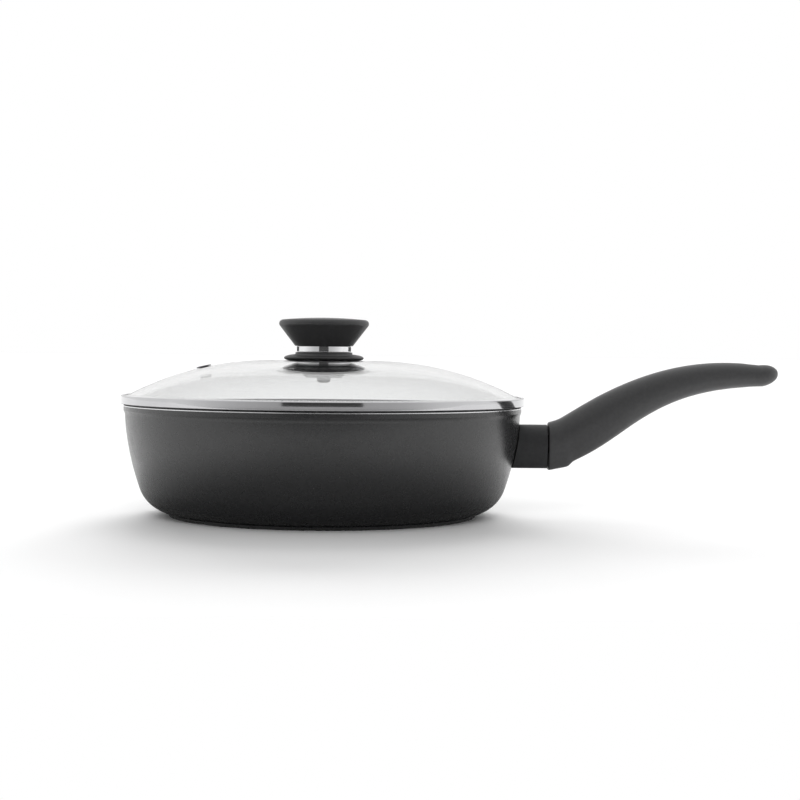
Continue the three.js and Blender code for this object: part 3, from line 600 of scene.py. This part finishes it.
quarter = np.linspace(0, right_angle, 6)
slot_rings = [slot_ring(slot_ease, -1, -slot_overrun)]
for face, turns in ((-1, quarter[::-1]), (1, quarter)):
    for t in turns:
        offset, depth = slot_ease * (1 - math.cos(t)), slot_ease * (1 - math.sin(t))
        slot_rings.append(slot_ring(offset, face, -face * depth))
slot_rings += [slot_ring(slot_ease, 1, slot_overrun)]
worked(grip, lofted("hanging_slot", slot_rings))
grip.data.transform(Matrix.Translation((grip_front, 0, handle_height)))
worked(grip, tongue_room(grip_front - overrun, tongue_end + fit_gap))
head_radius = 4 * mm
head_height = 2.6 * mm
head_sink = 1.2 * mm
washer_thickness = 1 * mm
screw_radius = 2.1 * mm
head_room = head_radius + fit_gap
screw_bore = screw_radius + fit_gap
boss_face = handle_height + front_bottom[1] + (boss_end - front_bottom)[1] * handle_screw_place / boss_end[0]
screw_seat = boss_face + head_sink + head_height + washer_thickness + 2 * seat_gap
screw_room = [(0, 0), (head_room, 0), (head_room, screw_seat), (screw_bore, screw_seat)]
screw_room += [(screw_bore, tongue_middle), (0, tongue_middle)]
screw_hole = turned("screw_hole", screw_room, segments=64)
screw_hole.data.transform(screw_stand)
worked(grip, screw_hole)
smoothed(grip)
satin_black = new_finish("satin_black", roughness=0.46, ior=1.55)
tint(satin_black, grain(satin_black, size=2.2 * mm), (0.028, 0.028, 0.029), (0.036, 0.036, 0.037))
dull(satin_black, grain(satin_black, size=0.5 * mm), least=0.40, most=0.52)
emboss(satin_black, grain(satin_black, size=0.45 * mm, detail=2), depth=0.012 * mm)
grip.data.materials.append(satin_black)
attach(grip, "pan")
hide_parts("handle_grip")

# Handle screw and washer
# A plated steel screw with a cross recess, and the flat washer under its head. They go up through the boss
# and pull the grip and the flame guard onto the tongue.
washer_top = screw_seat - seat_gap
washer_bottom = washer_top - washer_thickness


def ring_outline(bore, radius, bottom, top):
    return [(bore, bottom), (radius, bottom), (radius, top), (bore, top)]


washer_outline = ring_outline(screw_bore, head_radius, washer_bottom, washer_top)
handle_washer = turned("handle_washer_ring", eased(washer_outline, radius=0.2 * mm), segments=64)


# A screw that points up from its head's bearing face, with a tapered cross recess and a rolled thread.
def cross_head_screw(name, radius, length, head, height, seat):
    thread_pitch = 0.8 * mm
    thread_root = 0.84 * radius
    thread_share = 0.6
    lead_in = radius / 2
    bottom, tip = seat - height, seat + length
    crown = 0.55 * height
    outline = [(0, bottom), (0.5 * head, bottom), (0.8 * head, bottom + 0.25 * crown)]
    outline += [(head, seat - 0.4 * crown), (head, seat), (radius, seat)]
    turns = int(length * thread_share / thread_pitch)
    first = tip - lead_in - turns * thread_pitch
    for turn in range(turns):
        outline += [(radius, first + turn * thread_pitch), (thread_root, first + (turn + 0.5) * thread_pitch)]
    outline += [(radius, tip - lead_in), (lead_in, tip), (0, tip)]
    screw = turned(name, eased(outline, radius=0.25 * mm, steps=3), segments=64)
    mouth = (bottom - 1 * mm, 0.62 * head, 0.17 * head)
    pit = (bottom + 0.55 * height, 0.3 * head, 0.1 * head)
    for turn in (0, right_angle):
        rings = []
        for z, reach, half in (mouth, pit):
            rings.append([(-reach, -half, z), (reach, -half, z), (reach, half, z), (-reach, half, z)])
        recess = lofted("recess", rings)
        recess.data.transform(Matrix.Rotation(turn, 4, "Z"))
        worked(screw, recess)
    return screw


head_seat = washer_bottom - seat_gap
bush_depth = 10 * mm
shank = tongue_middle - tongue_half + bush_depth - head_seat
handle_screw = cross_head_screw(
    "handle_screw_cross", screw_radius, shank, head_radius, head_height, head_seat)
for piece, name in ((handle_washer, "handle_washer"), (handle_screw, "handle_screw")):
    smoothed(piece)
    piece.data.transform(screw_stand)
    piece.data.materials.append(zinc)
    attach(piece, "pan")
    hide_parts(name)

# Lid glass
# A dome of tempered glass 4 mm thick, pressed to shape while hot, with a dished seat for the knob at its
# crown, a bore for the knob's screw and a small hole for the steam vent.
band_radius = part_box("lid_band")[1].y
glass_thickness = 4 * mm
glass_radius = band_radius - 3.1 * mm
glass_edge = pan_height + 5.3 * mm
crest = pan_height + 29.2 * mm
crest_radius = 35 * mm
dish_radius = 21.5 * mm
dish_depth = 3.2 * mm
glass_bore = 4.5 * mm
knob_seat = crest - dish_depth
vent_place = 79 * mm
vent_barrel = 2.8 * mm
vent_hole_reach = 8 * mm
dome_reach = glass_radius - crest_radius
dome_drop = crest - glass_edge
dome_bow = (dome_reach ** 2 + dome_drop ** 2) / (2 * dome_drop)
dome_centre = (crest_radius, crest - dome_bow)


def dome_angle(radius, bow):
    return math.acos((radius - dome_centre[0]) / bow)


dome_edge_angle = dome_angle(glass_radius, dome_bow)
run = (crest_radius - dish_radius) / 2
rise = dish_depth / 2
bend = (run ** 2 + rise ** 2) / (2 * rise)
slope = math.asin(run / bend)
hollow_centre = (dish_radius, knob_seat + bend)
crest_centre = (crest_radius, crest - bend)
glass_outline = [(glass_bore, knob_seat - glass_thickness)]
glass_outline += arc(hollow_centre, bend + glass_thickness, -right_angle, slope - right_angle, steps=12)
glass_outline += arc(crest_centre, bend - glass_thickness, slope + right_angle, right_angle, steps=12)[1:]
glass_outline += arc(dome_centre, dome_bow - glass_thickness, right_angle, dome_edge_angle, steps=48)[1:]
glass_outline += arc(dome_centre, dome_bow, dome_edge_angle, right_angle, steps=48)
glass_outline += arc(crest_centre, bend, right_angle, slope + right_angle, steps=12)[1:]
glass_outline += arc(hollow_centre, bend, slope - right_angle, -right_angle, steps=12)[1:]
glass_outline += [(glass_bore, knob_seat)]
lid_glass = turned("glass_dome", eased(glass_outline, radius=0.9 * mm), segments=256)
vent_angle = dome_angle(vent_place, dome_bow)
vent_height = dome_centre[1] + dome_bow * math.sin(vent_angle)
vent_lean = Matrix.Rotation(vent_angle - right_angle, 4, "Y")
vent_stand = Matrix.Translation((-vent_place, 0, vent_height)) @ vent_lean
vent_hole_outline = rod_outline(vent_barrel + fit_gap, -vent_hole_reach, vent_hole_reach)
vent_hole = turned("vent_hole", vent_hole_outline, segments=48)
vent_hole.data.transform(vent_stand)
worked(lid_glass, vent_hole)
smoothed(lid_glass)
clear_glass = new_finish("clear_glass", roughness=0.0)
shader_of(clear_glass).inputs["Base Color"].default_value = (0.994, 0.999, 0.998, 1)
shader_of(clear_glass).inputs["Transmission Weight"].default_value = 1
dull(clear_glass, grain(clear_glass, size=14 * mm), least=0.0, most=0.015)
lid_glass.data.materials.append(clear_glass)
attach(lid_glass, "lid")
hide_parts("lid_glass")

# Lid band
# A strip of stainless steel rolled round the edge of the glass and polished. Its lower edge turns in to rest
# on the rim, and a short skirt hangs inside the pan and keeps the lid from sliding.
band_sheet = 0.7 * mm
band_lap = 0.8 * mm
lower_round = 0.5 * mm
upper_round = 0.8 * mm
face_crown = 0.06 * mm
face_radius = band_radius - face_crown
face_bottom = pan_height + 0.6 * mm
face_top = pan_height + 6.2 * mm
rest_height = pan_height + seat_gap
rest_radius = rim_radius - rim_chamfer - 0.4 * mm
skirt_gap = 0.7 * mm
skirt_bottom = pan_height - 5 * mm
skirt_radius = wall_radius(skirt_bottom, -wall_thickness) - skirt_gap
skirt_inside = skirt_radius - band_sheet
over = dome_bow + fit_gap
outside = over + band_sheet
below = dome_bow - glass_thickness - fit_gap
lap_angle = dome_angle(glass_radius - band_lap, dome_bow)
edge_angle = dome_edge_angle - fit_gap / dome_bow
band_outline = [(skirt_inside, skirt_bottom), (skirt_radius, skirt_bottom)]
band_outline += [(skirt_radius, rest_height), (rest_radius, rest_height)]
lower_middle = (face_radius - lower_round, face_bottom + lower_round)
upper_middle = (face_radius - upper_round, face_top - upper_round)
band_outline += arc(lower_middle, lower_round, -right_angle, 0, steps=8)
for t in np.linspace(-0.8, 0.8, 9):
    height = (upper_middle[1] + lower_middle[1] + (upper_middle[1] - lower_middle[1]) * t) / 2
    band_outline.append((face_radius + face_crown * (1 - t ** 2), height))
band_outline += arc(upper_middle, upper_round, 0, right_angle, steps=8)
lap_x = dome_centre[0] + outside * math.cos(lap_angle)
lap_z = dome_centre[1] + outside * math.sin(lap_angle)
band_outline.append((lap_x, lap_z))
band_outline += arc(dome_centre, over, lap_angle, edge_angle, steps=3)
band_outline += arc(dome_centre, below, edge_angle, dome_angle(skirt_inside, below), steps=4)
lid_band = turned("rolled_band", eased(band_outline, radius=0.25 * mm), segments=256)
smoothed(lid_band)
polished_steel = new_finish("polished_steel", roughness=0.1, metallic=1.0)
tint(polished_steel, grain(polished_steel, size=30 * mm), (0.53, 0.53, 0.54), (0.59, 0.59, 0.6))
dull(polished_steel, lines(polished_steel, height_on(polished_steel), pitch=0.4 * mm), least=0.06, most=0.13)
# The second finish is a rougher steel whose darker colour is painted shade: it goes on the band's outer faces
# that look downwards, over the gap above the rim.
painted_shade_steel = new_finish("painted_shade_steel", roughness=0.5, metallic=1.0)
tint(painted_shade_steel, grain(painted_shade_steel, size=2 * mm), (0.07, 0.07, 0.072), (0.12, 0.12, 0.122))
dull(painted_shade_steel, grain(painted_shade_steel, size=0.8 * mm), least=0.45, most=0.6)
lid_band.data.materials.append(polished_steel)
lid_band.data.materials.append(painted_shade_steel)
facing_down = -0.3
for face in lid_band.data.polygons:
    outer = math.hypot(face.center.x, face.center.y) > skirt_radius
    face.material_index = int(outer and face.normal.z < facing_down)
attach(lid_band, "lid")
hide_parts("lid_band")

# Steam vent
# A darkened steel eyelet that lets the steam out through the dome, on the side away from the handle. It is
# pushed through the glass from above, and its barrel is rolled over below.
vent_bore = 1.9 * mm
vent_mouth = 2.6 * mm
vent_land = 4.4 * mm
vent_flange = 5 * mm
vent_under = -glass_thickness - fit_gap
vent_curl = vent_under - 1 * mm
vent_curl_radius = 3.4 * mm
vent_top = fit_gap + 0.8 * mm
vent_outline = [(vent_bore, vent_curl), (vent_curl_radius, vent_curl), (vent_land, vent_under)]
vent_outline += [(vent_barrel, vent_under), (vent_barrel, fit_gap), (vent_flange, fit_gap)]
vent_outline += [(vent_flange, vent_top - 0.4 * mm), (vent_land, vent_top)]
vent_outline += [(vent_mouth, vent_top), (vent_bore, vent_top - 0.6 * mm)]
vent_eyelet = turned("vent_eyelet_ring", eased(vent_outline, radius=0.5 * mm), segments=64)
vent_eyelet.data.transform(vent_stand)
smoothed(vent_eyelet)
vent_steel = new_finish("vent_steel", roughness=0.32, metallic=1.0)
tint(vent_steel, grain(vent_steel, size=1.2 * mm), (0.07, 0.07, 0.075), (0.13, 0.13, 0.135))
dull(vent_steel, grain(vent_steel, size=0.7 * mm), least=0.25, most=0.4)
vent_eyelet.data.materials.append(vent_steel)
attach(vent_eyelet, "lid")
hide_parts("vent_eyelet")

# Gaskets
# Two soft silicone rings, one on each side of the glass at the knob's bore. They keep the steel of the
# knob's fixing off the glass, and give a little as its screw is drawn tight.
silicone = new_finish("silicone", roughness=0.62)
tint(silicone, grain(silicone, size=1.8 * mm), (0.012, 0.012, 0.013), (0.022, 0.022, 0.023))
dull(silicone, grain(silicone, size=0.4 * mm), least=0.55, most=0.7)
for name in ("knob_gasket", "under_gasket"):
    low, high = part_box(name)
    soft_outline = ring_outline(glass_bore, high.y, low.z, high.z)
    gasket = turned(name + "_ring", eased(soft_outline, radius=0.3 * mm), segments=96)
    smoothed(gasket)
    gasket.data.materials.append(silicone)
    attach(gasket, "lid")
    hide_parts(name)

# Knob collars
# Two steel rings, turned and polished to a mirror, which hold the knob's mouldings apart. The thin one lies
# below the heat guard, and the taller one stands between it and the cap.
collar_bore = 2.8 * mm
mirror_steel = new_finish("mirror_steel", roughness=0.06, metallic=1.0)
tint(mirror_steel, grain(mirror_steel, size=6 * mm), (0.8, 0.8, 0.81), (0.86, 0.86, 0.87))
dull(mirror_steel, lines(mirror_steel, height_on(mirror_steel), pitch=0.3 * mm), least=0.04, most=0.09)
for name in ("lower_collar", "upper_collar"):
    low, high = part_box(name)
    collar_outline = ring_outline(collar_bore, high.y, low.z, high.z)
    collar = turned(name + "_ring", eased(collar_outline, radius=0.4 * mm), segments=128)
    smoothed(collar)
    collar.data.materials.append(mirror_steel)
    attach(collar, "lid")
    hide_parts(name)

# Heat guard
# A wide disc moulded from the same plastic as the grip, which keeps the fingers off the hot glass. It thins
# to a round edge, and a low hub on top carries the collar.
low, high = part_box("heat_guard")
disc_half = 2.6 * mm
disc_taper = 10.5 * mm
hub_radius = 18.8 * mm
taper_start = high.y - disc_taper
hub_angle = math.acos((hub_radius - taper_start) / disc_taper)
disc_outline = [(collar_bore, low.z)]
for t in np.linspace(-right_angle, hub_angle, 40):
    disc_outline.append((taper_start + disc_taper * math.cos(t), low.z + disc_half * (1 + math.sin(t))))
disc_outline += [(hub_radius, high.z), (collar_bore, high.z)]
heat_guard = turned("heat_guard_disc", eased(disc_outline, radius=0.4 * mm), segments=160)
smoothed(heat_guard)
heat_guard.data.materials.append(satin_black)
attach(heat_guard, "lid")
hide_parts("heat_guard")

# Knob cap and its bush
# The flared knob is moulded round a threaded brass bush. Its crown is slightly domed, and its edge is rounded
# for the fingers. The bush is out of sight, so its plain solid stays and only gets the finish.
low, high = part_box("knob_cap")
cap_foot = 19 * mm
cap_round = 2.6 * mm
cap_crown = 1.3 * mm
bush_room = 4.5 * mm
bush_top = low.z + 11.3 * mm
cap_edge = (high.y - cap_round, high.z - cap_crown - cap_round)
flare = math.atan2(high.y - cap_foot, cap_edge[1] - low.z)
cap_outline = [(0, bush_top), (bush_room, bush_top), (bush_room, low.z), (cap_foot, low.z)]
cap_outline += arc(cap_edge, cap_round, -flare, right_angle, steps=18)
for t in np.linspace(0.1, 1, 10):
    cap_outline.append((cap_edge[0] * (1 - t), high.z - cap_crown * (1 - t) ** 2))
knob_cap = turned("knob_cap_moulding", eased(cap_outline, radius=0.5 * mm), segments=160)
smoothed(knob_cap)
knob_cap.data.materials.append(satin_black)
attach(knob_cap, "lid")
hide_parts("knob_cap")
brass = new_finish("brass", roughness=0.34, metallic=1.0)
tint(brass, grain(brass, size=1.5 * mm), (0.52, 0.36, 0.13), (0.62, 0.46, 0.2))
dull(brass, grain(brass, size=0.6 * mm), least=0.26, most=0.4)
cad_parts["knob_insert"].data.materials.clear()
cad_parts["knob_insert"].data.materials.append(brass)

# Knob fixing
# Below the glass come a wide plated washer, a split spring washer and a cross-head screw, which runs up
# through the glass, the collars and the heat guard into the cap's bush.
low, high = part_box("under_washer")
plate_outline = ring_outline(collar_bore, high.y, low.z, high.z)
under_washer = turned("under_washer_disc", eased(plate_outline, radius=0.35 * mm), segments=128)
low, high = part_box("spring_washer")
coil_outline = eased(ring_outline(collar_bore, high.y, low.z, high.z), radius=0.2 * mm)
split_width = 1 * mm
split_turn = split_width / 2 / high.y
coil_rings = []
for t in np.linspace(split_turn, full_turn - split_turn, 72):
    coil_rings.append([(r * math.cos(t), r * math.sin(t), z) for r, z in coil_outline])
spring_washer = lofted("spring_washer_coil", coil_rings)
low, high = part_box("knob_screw")
knob_thread = 2.5 * mm
knob_head = 4.6 * mm
knob_head_height = 2.8 * mm
knob_screw_seat = low.z + knob_head_height
knob_shank = high.z - knob_screw_seat
knob_screw = cross_head_screw(
    "knob_screw_cross", knob_thread, knob_shank, knob_head, knob_head_height, knob_screw_seat)
knob_fixing = ((under_washer, "under_washer"), (spring_washer, "spring_washer"), (knob_screw, "knob_screw"))
for piece, name in knob_fixing:
    smoothed(piece)
    piece.data.materials.append(zinc)
    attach(piece, "lid")
    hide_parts(name)

# Studio
# A plain white floor in a white room, which is darker on the side of the camera. Soft lamps stand low and
# high behind the pan, with a weak one in front, and dark cards show in the reflections alone.
scene = bpy.context.scene
scene.view_settings.view_transform = "Standard"


# A piece of flat faces between given corners.
def flat_piece(name, corners, faces, finish):
    mesh = bpy.data.meshes.new(name)
    mesh.from_pydata(corners, [], faces)
    mesh.materials.append(finish)
    piece = bpy.data.objects.new(name, mesh)
    scene.collection.objects.link(piece)
    return piece


floor_side = 12
floor_front = -0.42
floor_back = 30
floor_shade = 0.94
floor_white = new_finish("floor_white", roughness=0.9)
tint(floor_white, grain(floor_white, size=400 * mm), (0.93, 0.93, 0.93), (0.95, 0.95, 0.95))
shader_of(floor_white).inputs["Specular IOR Level"].default_value = 0.1
floor_corners = [(-floor_side, floor_front, 0), (floor_side, floor_front, 0)]
floor_corners += [(floor_side, floor_back, 0), (-floor_side, floor_back, 0)]
floor = flat_piece("floor", floor_corners, [(0, 1, 2, 3)], floor_white)

# The camera and the glass see a white room. Reflections see it fall off to the front and downwards, and what
# it lights gets part of its strength.
room_light = 0.5
world = bpy.data.worlds.new("studio")
scene.world = world
world.use_nodes = True


# Works out one value from numbers and from what other nodes give.
def reckoned(operation, *values):
    result = node(world, "ShaderNodeMath", operation=operation)
    for socket, value in zip(result.inputs, values):
        if isinstance(value, (int, float)):
            socket.default_value = value
        else:
            link(world, value, socket)
    return result.outputs[0]


path = node(world, "ShaderNodeLightPath").outputs
facing = node(world, "ShaderNodeSeparateXYZ")
link(world, node(world, "ShaderNodeTexCoord").outputs["Generated"], facing.inputs[0])
smooth = {"interpolation_type": "SMOOTHSTEP"}
depth = spread(world, facing.outputs["Y"], start=-1.0, end=0.1, low=0.52, high=1.0, **smooth)
under = spread(world, facing.outputs["Z"], start=-0.3, end=-0.03, low=0.25, high=1.0, **smooth)
level = node(world, "ShaderNodeMix")
link(world, reckoned("MAXIMUM", path["Is Camera Ray"], path["Is Transmission Ray"]), level.inputs["Factor"])
link(world, reckoned("MULTIPLY", depth, under), level.inputs["A"])
level.inputs["B"].default_value = 1
dimmed = reckoned("MULTIPLY_ADD", path["Is Diffuse Ray"], room_light - 1, 1)
room = world.node_tree.nodes["Background"]
room.inputs["Color"].default_value = (1, 1, 1, 1)
link(world, reckoned("MULTIPLY", level.outputs["Result"], dimmed), room.inputs["Strength"])
world.cycles.sampling_method = "NONE"

# Each lamp's turn from straight behind, height and width in degrees, and its share of the floor's light.
lamps = (
    ("front", 180, 22, 40, 0.15),
    ("low_middle", 0, 16, 26, 0.13),
    ("low_left", 15, 16, 26, 0.14),
    ("low_right", -15, 16, 26, 0.14),
    ("high", 0, 42, 30, 0.12),
    ("top", 0, 56, 30, 0.03),
)
for name, side, height, width, share in lamps:
    softbox = bpy.data.lights.new(f"softbox_{name}", "SUN")
    softbox.energy = share * math.pi / (floor_shade * math.sin(math.radians(height)))
    softbox.angle = math.radians(width)
    lamp = bpy.data.objects.new(softbox.name, softbox)
    lamp.rotation_euler = (math.radians(height - 90), 0, math.radians(side))
    lamp.visible_glossy = False
    lamp.visible_transmission = False
    scene.collection.objects.link(lamp)

# Dark cards: one stands in front of the pan and a narrow one behind the knob. A ring of painted shadow, which
# fades outwards, lies on the floor round the foot, so that the lower wall reflects a darker floor there.
card_black = new_finish("card_black", roughness=0.9)
tint(card_black, grain(card_black, size=200 * mm), (0.02, 0.02, 0.02), (0.03, 0.03, 0.03))
ring_inside = 90 * mm
ring_outside = 250 * mm
ring_height = 0.6 * mm
# The ring's colour is painted shadow seen in reflections alone: dark next to the foot, and clearing towards
# its outer edge.
painted_shadow_fade = card_black.copy()
painted_shadow_fade.name = "painted_shadow_fade"
fade = spread(painted_shadow_fade, radius_on(painted_shadow_fade), start=115 * mm, end=ring_outside, low=0.8, high=0.0)
faded = node(painted_shadow_fade, "ShaderNodeMixShader")
link(painted_shadow_fade, fade, faded.inputs["Fac"])
link(painted_shadow_fade, node(painted_shadow_fade, "ShaderNodeBsdfTransparent").outputs["BSDF"], faded.inputs[1])
link(painted_shadow_fade, shader_of(painted_shadow_fade).outputs["BSDF"], faded.inputs[2])
link(painted_shadow_fade, faded.outputs["Shader"], painted_shadow_fade.node_tree.nodes["Material Output"].inputs["Surface"])
cards = []

# Each standing card's left and right, its place in depth, and its lower and upper edge, in metres.
standing = (("front_card", -0.226, 0.285, -0.7, 0.055, 0.4), ("back_card", -0.62, 0.62, 0.5, 0.1055, 0.1165))
for name, left, right, away, low, high in standing:
    corners = [(left, away, low), (right, away, low), (right, away, high), (left, away, high)]
    cards.append(flat_piece(name, corners, [(0, 1, 2, 3)], card_black))
ring_steps = 96
ring_turns = np.linspace(0, full_turn, ring_steps, endpoint=False)
ring_points = []
for radius in (ring_inside, ring_outside):
    ring_points += [(radius * math.cos(t), radius * math.sin(t), ring_height) for t in ring_turns]
ring_faces = []
for at in range(ring_steps):
    after = (at + 1) % ring_steps
    ring_faces.append((at, at + ring_steps, after + ring_steps, after))
cards.append(flat_piece("painted_shadow_ring", ring_points, ring_faces, painted_shadow_fade))
for card in cards:
    card.visible_camera = False
    card.visible_diffuse = False
    card.visible_transmission = False
    card.visible_shadow = False

# The camera stands in front of the pan and looks slightly down.
camera_data = bpy.data.cameras.new("camera")
camera_data.lens = 74.07
camera_data.sensor_width = 36
camera = bpy.data.objects.new("camera", camera_data)
camera_place = Matrix.Translation((0.0515, -1.0864, 0.108))
camera_side = Matrix.Rotation(math.radians(0.0545), 4, "Z")
camera_tilt = Matrix.Rotation(math.radians(90 - 1.677), 4, "X")
camera_roll = Matrix.Rotation(math.radians(0.527), 4, "Z")
camera.matrix_world = camera_place @ camera_side @ camera_tilt @ camera_roll
scene.collection.objects.link(camera)
scene.camera = camera
